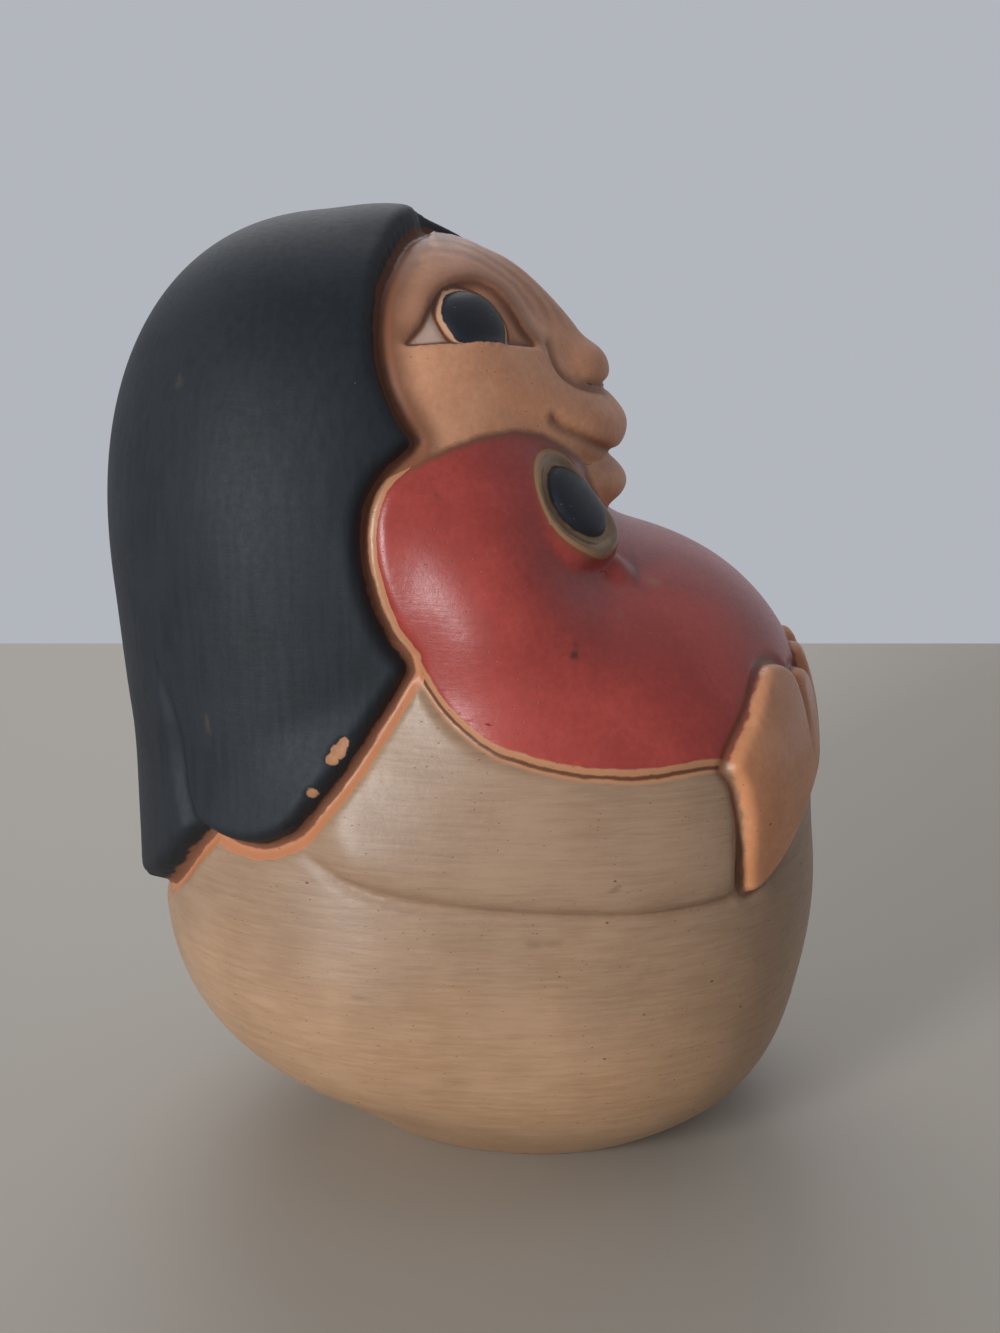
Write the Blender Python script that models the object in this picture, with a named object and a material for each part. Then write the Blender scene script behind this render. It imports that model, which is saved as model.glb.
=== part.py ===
import math

import bmesh
import bpy
import numpy as np

# Driving dimensions, in metres
HEIGHT = 0.126                # table to crown, which sets every form of the figure
HAIR_THICKNESS = 0.0019       # how far the hair stands out from the face and the sleeves
EDGE_GROOVE_DEPTH = 0.0008    # scored line that outlines each field of slip
EDGE_GROOVE_WIDTH = 0.0010

FACES = 9000                  # triangles that the finished solid keeps

# Every form below is in hundredths of the height: its side, forward and up place and its reach.
SHARE = HEIGHT / 100
SKIN_CELL = 0.6               # size of the cells that fuse the lumps into one skin
HAIR_RISE = HAIR_THICKNESS / SHARE
GROOVE_DEPTH = EDGE_GROOVE_DEPTH / SHARE
GROOVE_WIDTH = EDGE_GROOVE_WIDTH / SHARE
BODY_BLEND = 6.0              # fillet between the body and the bundle
FACE_BLEND = 1.5              # fillet between the face and the bundle

# Relief, in the same hundredths
HAIR_ROUND = 1.6              # how wide the hair's edge is rounded
HAIR_HEM_RISE = 0.9           # how much thicker it is at the hem
CROWN_RISE = 1.0              # the lock over the near side's brow
CROWN_DIP = 0.9               # and the hair beyond it, which lies flatter
PARTING = 7.0                 # how much further forward the far side's hair comes
FOLD_DEPTH = 0.9
HAND_RISE = 1.0
HAND_ROUND = 1.2
FINGER_DEPTH = 0.5
FINGER_WIDTH = 0.7
SLEEVE_RISE = 0.9
SLEEVE_ROUND = 2.5
EYE_DEPTH = 1.0
EYE_ROUND = 1.2
EYE_DISH = 0.4                # how much its middle comes back up
EYE_DISH_ROUND = 5.0
IRIS_RISE = 0.9
CREASE_DEPTH = 0.45           # creases beside the nose and between the lips
CREASE_WIDTH = 0.65


def lump(side, forward, up, wide, back, front, down, top, square=2.0, lean=0.0, turn=0.0, blend=2.0):
    """A rounded lump of clay with its own reach to each side, and its fillet to what is under it."""
    return dict(centre=np.array([side, forward, up]), wide=wide, back=back, front=front, down=down,
                top=top, square=square, lean=math.radians(lean), turn=math.radians(turn), blend=blend)


# Belly, chest, then head and back in one
BODY_LUMPS = [
    lump(0, 2.5, 24.5, wide=34, back=35, front=35.2, down=24.1, top=28, square=2.4, lean=-13),
    lump(0, 13, 38.5, wide=30, back=20, front=23, down=23, top=25, square=2.3, blend=8),
    lump(0, -11.5, 63, wide=29, back=24, front=19, down=51.5, top=34, square=2.3, lean=5, blend=8),
]
# Face, the muzzle under its cheeks, upper lip, lower lip, bridge of the nose, its tip and wings
FACE_LUMPS = [
    lump(0, -6, 78.5, wide=24, back=20.5, front=17, down=21, top=18, square=1.9, lean=-22),
    lump(0, 1, 78, wide=16.5, back=9, front=14, down=7, top=8, square=1.9, lean=-12, blend=6),
    lump(0, 5, 78, wide=13.5, back=9, front=12.2, down=4.1, top=3, square=2.4, lean=-9, blend=4.5),
    lump(0, 8, 72.6, wide=12, back=7, front=9.8, down=4.6, top=3.2, square=2.1, lean=-16, blend=0.7),
    lump(0, 9.4, 85, wide=5, back=5, front=2.6, down=4.2, top=9, lean=41, blend=3),
    lump(0, 9.4, 81.4, wide=8.2, back=7, front=6.1, down=2.4, top=4, square=2.2, lean=6, blend=1),
]
# Rear, middle and front of the round bundle, and where it is pressed up under the chin
BUNDLE_LUMPS = [
    lump(0, 2.6, 61.5, wide=30.8, back=13.5, front=11, down=16.5, top=18.8, square=2.3, lean=16),
    lump(0, 11, 53.5, wide=30.4, back=16, front=15, down=8, top=8.2, square=2.2, lean=-8, blend=10),
    lump(0, 17.5, 45, wide=27.5, back=17, front=18.6, down=18, top=18, square=2.1, lean=-22, blend=6),
    lump(0, 2, 66, wide=24, back=12, front=11, down=12, top=13, square=2.6, blend=5),
]
# The pad under the body that gives the flat foot, and a sleeve, which has a twin
FOOT_LUMP = lump(0, 4, 8, wide=16, back=14, front=17, down=10, top=16, square=2.4, blend=11)
SLEEVE_LUMP = lump(20, 8, 42, wide=13.5, back=24, front=22, down=9.5, top=12, square=2.2, blend=6)

# The round seed in the bundle and the small bud below it, on the right-hand side only
SEED_RADIUS = 5.7
SEED_PUPIL = 4.05
SEED_DOME = 1.2
SEED_RIM = 0.35
SEED_GROOVE = 0.45
SEED_LUMP = lump(-18.3, 10.1, 69.1, wide=5.9, back=5.9, front=5.9, down=6, top=2, square=2.6, lean=-43,
                 turn=34, blend=1.5)
BUD_LUMP = lump(-16.8, 14.2, 62.9, wide=2.3, back=2.3, front=2.3, down=2.5, top=2.3, blend=0.8)

# The right eye: its middle, the way along the lower lid, the way up, and its outline along those two
EYE_CENTRE = np.array([-17.1, 1.7, 88.4])
EYE_ALONG = np.array([0.572, 0.820, -0.028])
EYE_UP = np.array([0.508, -0.327, 0.797])
EYE_EDGE = [
    (-8.2, -1.9), (-6.5, -0.3), (-5.3, 1.0), (-3.7, 2.9), (-2.1, 4.2), (0.4, 5.3), (3.4, 5.6), (5.4, 4.6),
    (6.6, 2.6), (7.2, 0.4), (8.2, -1.7), (4, -2.4), (0, -2.6), (-4, -2.5),
]
IRIS_CENTRE = (0.6, 0.4)
IRIS_RADIUS = 3.8

# Outlines on the side view, as forward and up places
NOSE_CREASE = [(9, 85.2), (9.5, 83.5), (10.4, 82.2), (12.1, 81.1), (14.6, 80.2)]
MOUTH_CREASE = [(9.3, 78.3), (10.5, 77.2), (11.8, 76.5), (13.4, 75.5), (16.5, 72.9)]
HAIR_EDGE = [
    (-2.8, 116), (-2.8, 99), (-3.7, 97), (-5.9, 95.6), (-7.2, 93.4), (-8, 90.5), (-8.1, 86.5), (-7.3, 82.6),
    (-5.8, 79.2), (-4.6, 77.4), (-5.6, 76.2), (-7.6, 74.2), (-8.9, 71), (-9, 67), (-8.2, 63.2), (-6.6, 59.4),
    (-4.9, 56.8), (-5.7, 54.8), (-7.7, 51.5), (-10.2, 47.6), (-13.1, 43.6), (-15.6, 40.5), (-18.8, 38.8),
    (-21.8, 38.6), (-24.2, 39.2), (-25.3, 38.2), (-27.2, 35.6), (-29.4, 32), (-31.6, 29.6), (-35, 28.2),
    (-60, 28), (-60, 116),
]
HAIR_FOLD = [(-31, 63), (-29.5, 58.5), (-28.9, 55.5), (-26.9, 49.7), (-26, 43), (-24.6, 38.5)]
BUNDLE_EDGE = [
    (-6.6, 59.4), (-4.1, 57), (-1.5, 53.3), (1.2, 50.9), (4.3, 49.2), (10, 47.8), (17.7, 47.1), (23.6, 47.4),
    (27, 46.6), (34, 45), (60, 44), (60, 100), (-30, 100), (-30, 70),
]
SLEEVE_EDGE = [
    (-30, 43), (-17, 39.6), (-10.2, 35.9), (-1.5, 34.3), (10, 33.4), (19.7, 33), (28, 33.6), (38, 36),
]
# Outline of a hand as the angle round the front from straight ahead, and the height
HAND_AXIS_FORWARD = 5
HAND_REACH = 33
CUFF_EDGE = [(47, 50.6), (54, 47.2), (53, 44.3), (51.6, 39.3), (50.5, 34.4), (48, 33.2)]
PALM_EDGE = [(42, 34.9), (35, 37.4), (28, 39.3), (15, 41.2), (0, 41.8), (-12, 41.4), (-12, 52)]
FINGERS = [(7.5, 6.5, 53.2), (20.5, 5.5, 52), (34.5, 9, 54)]     # middle angle, half width, tip height
FINGER_ROOT = 50.2
FINGER_LINES = [(0, 51, 43), (14.5, 51, 45), (26.3, 51, 45.5)]   # angle, top, bottom

SIDE_AXES = np.array([[0, 1.0, 0], [0, 0, 1.0]])


def smooth_path(points, closed, steps=4):
    """Catmull-Rom curve through the points."""
    p = np.array(points, float)
    count = len(p) if closed else len(p) - 1
    rows = []
    for i in range(count):
        ids = [(i + k) % len(p) if closed else min(max(i + k, 0), len(p) - 1) for k in (-1, 0, 1, 2)]
        a, b, c, d = p[ids]
        for t in np.arange(steps) / steps:
            rows.append(b + 0.5 * t * (c - a + t * (2 * a - 5 * b + 4 * c - d + t * (3 * (b - c) + d - a))))
    if not closed:
        rows.append(p[-1])
    return np.array(rows)


def path_distance(uv, path, closed):
    """Distance of points to a path, less than nothing inside or on its left, and the way it grows."""
    ends = np.roll(path, -1, 0) if closed else path[1:]
    best = np.full(len(uv), 1e18)
    away = np.zeros_like(uv)
    sign = np.ones(len(uv))
    for a, b in zip(path, ends):
        line = b - a
        rel = uv - a
        along = np.clip(rel @ line / (line @ line), 0, 1)
        gap = rel - along[:, None] * line
        size = (gap ** 2).sum(1)
        near = size < best
        best[near] = size[near]
        away[near] = gap[near]
        if closed:
            spans = (a[1] > uv[:, 1]) != (b[1] > uv[:, 1])
            cross = spans & (uv[:, 0] < a[0] + line[0] * (uv[:, 1] - a[1]) / (line[1] or 1e-9))
            sign[cross] *= -1
        else:
            sign[near] = np.where(line[0] * rel[near, 1] - line[1] * rel[near, 0] > 0, -1, 1)
    distance = np.sqrt(best)
    return distance * sign, away / (distance + 1e-9)[:, None] * sign[:, None]


def side_distance(points, normals, path, closed, forward_shift=0):
    """Distance along the surface to an outline drawn on the side view."""
    uv = points[:, 1:].copy()
    uv[:, 0] -= forward_shift
    distance, away = path_distance(uv, smooth_path(path, closed), closed)
    slope = 1 - ((away @ SIDE_AXES) * normals).sum(1) ** 2
    return distance / np.sqrt(slope.clip(0.12))


def local(points, form):
    """The points in a lump's own axes, with its turn and lean taken out."""
    p = points - form["centre"]
    c, s = math.cos(form["turn"]), math.sin(form["turn"])
    x, y = p[:, 0] * c + p[:, 1] * s, p[:, 1] * c - p[:, 0] * s
    c, s = math.cos(form["lean"]), math.sin(form["lean"])
    return x, y * c + p[:, 2] * s, p[:, 2] * c - y * s


def lump_distance(points, form):
    x, y, z = local(points, form)
    n = form["square"]
    reach_y = np.where(y > 0, form["front"], form["back"])
    reach_z = np.where(z > 0, form["top"], form["down"])
    terms = [np.abs(x) / form["wide"], np.abs(y) / reach_y, np.abs(z) / reach_z]
    level = sum(t ** n for t in terms) ** (1 / n) + 1e-9
    slope = sum((t / level) ** (2 * n - 2) / r ** 2
                for t, r in zip(terms, (form["wide"], reach_y, reach_z))) ** 0.5 + 1e-9
    return (level - 1) / slope


def joined(a, b, blend):
    """Two fields pressed together with a fillet of this size."""
    h = np.maximum(blend - np.abs(a - b), 0) / blend
    return np.minimum(a, b) - h * h * blend / 4


def pile(points, forms):
    field = lump_distance(points, forms[0])
    for form in forms[1:]:
        field = joined(field, lump_distance(points, form), form["blend"])
    return field


def mirrored(points):
    return np.abs(points[:, :1]) * [[1, 0, 0]] + points * [[0, 1, 1]]


def clay(points):
    """Signed distance of points to the figure before anything is scored into it."""
    body = pile(points, BODY_LUMPS)
    body = joined(body, lump_distance(mirrored(points), SLEEVE_LUMP), SLEEVE_LUMP["blend"])
    body = joined(body, lump_distance(points, FOOT_LUMP), FOOT_LUMP["blend"])
    bundle = pile(points, BUNDLE_LUMPS)
    for form in (SEED_LUMP, BUD_LUMP):
        bundle = joined(bundle, lump_distance(points, form), form["blend"])
    return joined(joined(body, bundle, BODY_BLEND), pile(points, FACE_LUMPS), FACE_BLEND)


def slope_of(points, field, step=0.05):
    slope = np.stack([field(points + step * axis) - field(points - step * axis) for axis in np.eye(3)], 1)
    return slope / (2 * step)


def evened(points, ends):
    """The points half-way to the mean of their neighbours, which spreads them evenly."""
    a, b = ends.T
    size = len(points)
    count = np.bincount(a, minlength=size) + np.bincount(b, minlength=size)
    around = [np.bincount(a, row[b], size) + np.bincount(b, row[a], size) for row in points.T]
    return (points + np.stack(around, 1) / count[:, None]) / 2


def settle(points, ends, rounds=7):
    """Moves points along the field's slope until they lie on its surface, evenly spread."""
    for turn in range(rounds):
        slope = slope_of(points, clay)
        points = points - (clay(points) / (slope ** 2).sum(1).clip(0.2))[:, None] * slope
        if turn < rounds - 2:
            points = evened(points, ends)
    slope = slope_of(points, clay)
    return points, slope / np.linalg.norm(slope, axis=1)[:, None]


def rounded_step(distance, width):
    """Nothing outside an edge, rising to one over the width inside it."""
    t = np.clip(-distance / width, 0, 1)
    return np.sqrt(1 - (1 - t) ** 2)


def score(distance, centre, width):
    return np.exp(-((distance - centre) / width) ** 2)


def ramp(value, low, high):
    t = np.clip((value - low) / (high - low), 0, 1)
    return t * t * (3 - 2 * t)


def hair_distance(points, normals):
    """The far side's hair reaches further over the forehead than the near side's."""
    parting = PARTING * ramp(points[:, 0], 0, 6) * ramp(points[:, 2], 80, 92)
    return side_distance(points, normals, HAIR_EDGE, True, parting)


def hair_relief(points, normals, hair):
    """The hair stands out over its scored outline, most at its hem and over the near side's brow."""
    side, forward, up = points.T
    hem = HAIR_HEM_RISE * ramp(-up, -60, -36)
    crown = CROWN_RISE * ramp(up, 94, 98) * ramp(-side, -3, 1)
    crown -= CROWN_DIP * ramp(up, 86, 92) * ramp(side, 0, 5)
    crown *= ramp(forward, -14, -6)
    out = (HAIR_RISE + hem + crown) * rounded_step(hair, HAIR_ROUND)
    out -= GROOVE_DEPTH * score(hair, GROOVE_WIDTH, GROOVE_WIDTH)
    fold = side_distance(points, normals, HAIR_FOLD, False)
    return out - FOLD_DEPTH * ramp(-up, -64, -45) * score(fold, 0, 1.0) * (hair < 0)


def hand_places(points):
    """Places on the front unrolled: the way round it, and the height."""
    angle = np.arctan2(np.abs(points[:, 0]), points[:, 1] - HAND_AXIS_FORWARD)
    return np.stack([angle * HAND_REACH, points[:, 2]], 1)


def hand_distance(points):
    """Distance to the outline of a hand: cuff, palm and round tips, the last one running into the cuff."""
    edge = CUFF_EDGE + PALM_EDGE
    for middle, half, tip in FINGERS:
        for turn in np.radians([160, 125, 90, 55, 20]):
            edge.append((middle + half * math.cos(turn), FINGER_ROOT + (tip - FINGER_ROOT) * math.sin(turn)))
    edge.pop()
    path = smooth_path([(math.radians(angle) * HAND_REACH, up) for angle, up in edge], True)
    distance, _ = path_distance(hand_places(points), path, True)
    return np.where(points[:, 1] > 12, distance, 9.0)


def hand_relief(points, hand):
    """The hands stand out, with a scored outline and lines between the fingers."""
    up = points[:, 2]
    out = HAND_RISE * rounded_step(hand, HAND_ROUND) - 0.4 * HAND_RISE * score(hand, 0.4, 0.6)
    for angle, top, bottom in FINGER_LINES:
        line = hand_places(points)[:, 0] - math.radians(angle) * HAND_REACH
        ends = ramp(up, bottom - 3, bottom + 3) * ramp(-up, -top - 2, -top)
        out -= FINGER_DEPTH * score(line, 0, FINGER_WIDTH) * ends
    return out * ramp(points[:, 1], 12, 14)


def bundle_relief(points, normals, hair, hand):
    """The scored line under the bundle, which ends at the hair and the hands."""
    bundle = side_distance(points, normals, BUNDLE_EDGE, True)
    clear = ramp(hair, 0.5, 2) * ramp(hand, 0, 0.8)
    here = ramp(points[:, 2], 38, 42) * ramp(np.abs(points[:, 0]), 8, 14)
    return -0.8 * GROOVE_DEPTH * score(bundle, 0.6, 0.8 * GROOVE_WIDTH) * clear * here


def sleeve_relief(points, normals, hand):
    """The sleeve hangs a little over the body along its lower crease."""
    sleeve = side_distance(points, normals, SLEEVE_EDGE, False)
    along = ramp(points[:, 1], -17, -9) * ramp(-points[:, 1], -34, -27) * ramp(hand, 0.5, 2)
    fall = rounded_step(sleeve, SLEEVE_ROUND) * ramp(-np.abs(sleeve), -9, -2)
    return SLEEVE_RISE * along * (fall - 0.5 * score(sleeve, 0.3, 0.9))


def eye_relief(points):
    """A sunk almond with a domed iris, on both sides."""
    rel = mirrored(points) * [-1, 1, 1] - EYE_CENTRE
    flat = np.stack([rel @ EYE_ALONG, rel @ EYE_UP], 1)
    eye, _ = path_distance(flat, smooth_path(EYE_EDGE, True), True)
    from_iris = np.hypot(*(flat - IRIS_CENTRE).T)
    iris = IRIS_RISE * np.sqrt(np.clip(1 - (from_iris / IRIS_RADIUS) ** 2, 0, 1)) * (eye < 0)
    out = iris - EYE_DEPTH * rounded_step(eye, EYE_ROUND) + EYE_DISH * rounded_step(eye, EYE_DISH_ROUND)
    return np.where(np.abs(rel @ np.cross(EYE_ALONG, EYE_UP)) < 8, out, 0)


def face_relief(points, normals):
    """The creases beside the nose and between the lips."""
    nose = side_distance(points, normals, NOSE_CREASE, False)
    mouth = side_distance(points, normals, MOUTH_CREASE, False)
    return -CREASE_DEPTH * (score(nose, 0, CREASE_WIDTH) + score(mouth, 0, CREASE_WIDTH))


def seed_relief(points):
    """A round seed, domed, in a ring with a raised rim."""
    x, y, z = local(points, SEED_LUMP)
    from_seed = np.hypot(x, y)
    out = SEED_DOME * np.sqrt(np.clip(1 - (from_seed / SEED_PUPIL) ** 2, 0, 1))
    out += SEED_RIM * score(from_seed, SEED_RADIUS - 0.5, 0.6)
    out -= SEED_GROOVE * score(from_seed, SEED_PUPIL + 0.3, 0.5)
    return out * ramp(z, -2.5, -0.5)


def relief(points, normals):
    """How far the surface stands out or is scored in at each point."""
    hair = hair_distance(points, normals)
    hand = hand_distance(points)
    out = hair_relief(points, normals, hair) + hand_relief(points, hand)
    out += bundle_relief(points, normals, hair, hand) + sleeve_relief(points, normals, hand)
    return out + face_relief(points, normals) + eye_relief(points) + seed_relief(points)


def rough_skin():
    """The lumps as rounded solids, fused into one closed skin by a voxel Remesh."""
    bm = bmesh.new()
    single = BODY_LUMPS + FACE_LUMPS + BUNDLE_LUMPS + [FOOT_LUMP, SEED_LUMP, BUD_LUMP]
    for form, flip in [(form, 1) for form in single] + [(SLEEVE_LUMP, 1), (SLEEVE_LUMP, -1)]:
        made = bmesh.ops.create_icosphere(bm, subdivisions=4, radius=1)["verts"]
        co = np.array([v.co for v in made])
        n = form["square"]
        co /= (np.abs(co) ** n).sum(1)[:, None] ** (1 / n)
        x = co[:, 0] * form["wide"]
        y = co[:, 1] * np.where(co[:, 1] > 0, form["front"], form["back"])
        z = co[:, 2] * np.where(co[:, 2] > 0, form["top"], form["down"])
        c, s = math.cos(form["lean"]), math.sin(form["lean"])
        y, z = y * c - z * s, z * c + y * s
        c, s = math.cos(form["turn"]), math.sin(form["turn"])
        x, y = x * c - y * s, y * c + x * s
        place = (np.stack([x, y, z], 1) + form["centre"]) * [flip, 1, 1]
        for v, p in zip(made, place):
            v.co = p
    mesh = bpy.data.meshes.new("rough")
    bm.to_mesh(mesh)
    bm.free()
    obj = bpy.data.objects.new("rough", mesh)
    bpy.context.scene.collection.objects.link(obj)
    remesh = obj.modifiers.new("fuse", "REMESH")
    remesh.mode = "VOXEL"
    remesh.voxel_size = SKIN_CELL
    graph = bpy.context.evaluated_depsgraph_get()
    fused = bpy.data.meshes.new_from_object(obj.evaluated_get(graph))
    bpy.data.objects.remove(obj)
    return fused


def cut_foot(mesh):
    """Cuts the underside flat at the table and closes it."""
    bm = bmesh.new()
    bm.from_mesh(mesh)
    everything = bm.verts[:] + bm.edges[:] + bm.faces[:]
    cut = bmesh.ops.bisect_plane(bm, geom=everything, plane_no=(0, 0, 1), clear_inner=True)
    rim = [e for e in cut["geom_cut"] if isinstance(e, bmesh.types.BMEdge)]
    bmesh.ops.contextual_create(bm, geom=rim)
    bmesh.ops.triangulate(bm, faces=bm.faces[:])
    bm.to_mesh(mesh)
    bm.free()


def to_size(mesh):
    """Turns hundredths into metres, with the front to -Y and the box centred over the origin."""
    co = np.empty(len(mesh.vertices) * 3)
    mesh.vertices.foreach_get("co", co)
    co = co.reshape(-1, 3) * [1, -1, 1] * HEIGHT / co.reshape(-1, 3)[:, 2].max()
    co[:, :2] -= (co[:, :2].max(0) + co[:, :2].min(0)) / 2
    mesh.vertices.foreach_set("co", co.ravel())
    mesh.flip_normals()
    mesh.update()


def fired_clay():
    material = bpy.data.materials.new("fired_clay")
    material.use_nodes = True
    shader = material.node_tree.nodes["Principled BSDF"]
    shader.inputs["Base Color"].default_value = (0.50, 0.28, 0.17, 1)
    shader.inputs["Roughness"].default_value = 0.45
    shader.inputs["Metallic"].default_value = 0
    return material


def figurine():
    mesh = rough_skin()
    co = np.empty(len(mesh.vertices) * 3)
    mesh.vertices.foreach_get("co", co)
    ends = np.empty(len(mesh.edges) * 2, np.int32)
    mesh.edges.foreach_get("vertices", ends)
    co, normals = settle(co.reshape(-1, 3), ends.reshape(-1, 2))
    mesh.vertices.foreach_set("co", (co + normals * relief(co, normals)[:, None]).ravel())
    obj = bpy.data.objects.new("figurine", mesh)
    bpy.context.scene.collection.objects.link(obj)
    soften = obj.modifiers.new("soften", "SMOOTH")
    soften.factor = 0.5
    soften.iterations = 3
    thin = obj.modifiers.new("thin", "DECIMATE")
    thin.ratio = FACES / (2 * len(mesh.polygons))
    graph = bpy.context.evaluated_depsgraph_get()
    thinned = bpy.data.meshes.new_from_object(obj.evaluated_get(graph))
    obj.modifiers.clear()
    obj.data = thinned
    cut_foot(thinned)
    to_size(thinned)
    thinned.materials.append(fired_clay())


def main():
    for obj in list(bpy.data.objects):
        bpy.data.objects.remove(obj)
    figurine()


main()
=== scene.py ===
import math

import bmesh
import bpy
import numpy as np
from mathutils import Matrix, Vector


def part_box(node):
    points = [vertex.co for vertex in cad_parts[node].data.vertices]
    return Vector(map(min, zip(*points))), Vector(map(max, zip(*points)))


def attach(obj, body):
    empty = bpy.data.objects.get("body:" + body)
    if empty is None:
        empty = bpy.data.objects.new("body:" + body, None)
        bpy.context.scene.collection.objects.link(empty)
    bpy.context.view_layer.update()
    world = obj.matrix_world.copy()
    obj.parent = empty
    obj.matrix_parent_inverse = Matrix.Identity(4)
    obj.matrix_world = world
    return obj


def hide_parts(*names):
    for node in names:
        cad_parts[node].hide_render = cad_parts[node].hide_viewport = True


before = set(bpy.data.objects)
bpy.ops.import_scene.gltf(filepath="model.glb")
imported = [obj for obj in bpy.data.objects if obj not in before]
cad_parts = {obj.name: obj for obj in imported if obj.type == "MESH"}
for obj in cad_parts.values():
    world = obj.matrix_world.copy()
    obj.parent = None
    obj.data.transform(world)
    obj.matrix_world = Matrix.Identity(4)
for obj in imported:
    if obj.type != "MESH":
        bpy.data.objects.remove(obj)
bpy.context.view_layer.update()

print("stage 1: camera, light and floor")

view = {
    "target": (0.0, -0.0041, 0.0629),  # what the camera looks at, in metres
    "distance": 0.2662,
    "above": 14.0,                     # degrees above the level
    "focal": 1900 / 1333 * 36,         # the photo's long side is 1333 px
}


def makeCamera():
    cam = bpy.data.cameras.new("camera")
    cam.sensor_width = 36
    cam.lens = view["focal"]
    cam.clip_start = 0.005
    obj = bpy.data.objects.new("camera", cam)
    bpy.context.scene.collection.objects.link(obj)
    rise = math.radians(view["above"])
    back = Vector((-math.cos(rise), 0, math.sin(rise)))
    obj.location = Vector(view["target"]) + back * view["distance"]
    obj.rotation_mode = "QUATERNION"
    obj.rotation_quaternion = (-back).to_track_quat("-Z", "Y")
    bpy.context.scene.camera = obj


studio = {
    "lamps": [  # name, place, width and height, watts, colour
        ("windowLight", (-0.95, 0.68, 0.26), (0.24, 0.62), 13.5, (0.93, 0.97, 1.0)),
        ("farFill", (0.55, 0.10, 0.50), (0.50, 0.50), 1.6, (0.95, 0.97, 1.0)),
    ],
    "lampsAimAt": (0, 0, 0.06),
    "skyColour": (0.56, 0.585, 0.64),
    "wallStrength": 0.80,
    "roomStrength": 0.47,  # the room behind the camera is dimmer than the wall
    "roomFade": 0.5,       # how far to each side the one fades into the other
    "floorReach": 0.28,    # half the floor's side, so its far edge shows as the table's does
    "floorColour": (0.42, 0.375, 0.315),
    "floorRoughness": 0.55,
}


def makeLamps():
    for name, place, (width, tall), watts, colour in studio["lamps"]:
        lamp = bpy.data.lights.new(name, "AREA")
        lamp.shape = "RECTANGLE"
        lamp.size = width
        lamp.size_y = tall
        lamp.energy = watts
        lamp.color = colour
        obj = bpy.data.objects.new(name, lamp)
        bpy.context.scene.collection.objects.link(obj)
        obj.location = place
        obj.rotation_mode = "QUATERNION"
        obj.rotation_quaternion = (Vector(studio["lampsAimAt"]) - Vector(place)).to_track_quat("-Z", "Y")


def makeRoom():  # an even pale light all round, brighter from the wall behind the figure
    world = bpy.data.worlds.new("paleRoom")
    world.use_nodes = True
    sky = world.node_tree.nodes["Background"]
    sky.inputs["Color"].default_value = (*studio["skyColour"], 1)
    nodes, link = world.node_tree.nodes, world.node_tree.links.new
    way = nodes.new("ShaderNodeSeparateXYZ")
    link(nodes.new("ShaderNodeTexCoord").outputs["Generated"], way.inputs[0])
    fade = nodes.new("ShaderNodeMapRange")
    fade.interpolation_type = "SMOOTHSTEP"
    fade.inputs["From Min"].default_value = -studio["roomFade"]
    fade.inputs["From Max"].default_value = studio["roomFade"]
    fade.inputs["To Min"].default_value = studio["roomStrength"]
    fade.inputs["To Max"].default_value = studio["wallStrength"]
    link(way.outputs["X"], fade.inputs["Value"])
    link(fade.outputs["Result"], sky.inputs["Strength"])
    bpy.context.scene.world = world
    bpy.context.scene.view_settings.view_transform = "Standard"


def makeFloor():
    reach = studio["floorReach"]
    mesh = bpy.data.meshes.new("floor")
    mesh.from_pydata([(-reach, -reach, 0), (reach, -reach, 0), (reach, reach, 0), (-reach, reach, 0)],
                     [], [(0, 1, 2, 3)])
    floor = bpy.data.objects.new("floor", mesh)
    bpy.context.scene.collection.objects.link(floor)
    material = bpy.data.materials.new("tableTop")
    material.use_nodes = True
    shader = material.node_tree.nodes["Principled BSDF"]
    shader.inputs["Base Color"].default_value = (*studio["floorColour"], 1)
    shader.inputs["Roughness"].default_value = studio["floorRoughness"]
    mesh.materials.append(material)


makeCamera()
makeLamps()
makeRoom()
makeFloor()

print("stage 2: the clay body as pressed lumps")

# Forms are in hundredths of the height: side, forward and up places, and how far each reaches.
figure = {
    "height": 0.126,
    "hairThickness": 0.0019,  # how far the hair stands out
    "grooveDepth": 0.0008,    # the scored line round each field of slip
    "grooveWidth": 0.0010,
    "bodyBlend": 6.0,         # the fillets that join the bundle and the face to the body
    "faceBlend": 1.5,
    "skinCell": 0.40,         # the cells that fuse the lumps into one skin
    "triangles": 184000,
}
share = figure["height"] / 100
hairRise = figure["hairThickness"] / share
grooveDepth = figure["grooveDepth"] / share
grooveWidth = figure["grooveWidth"] / share


def lump(side, forward, up, wide, back, front, down, top, square=2.0, lean=0.0, turn=0.0, blend=2.0):
    return dict(centre=np.array([side, forward, up]), wide=wide, back=back, front=front, down=down,
                top=top, square=square, lean=math.radians(lean), turn=math.radians(turn), blend=blend)


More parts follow.
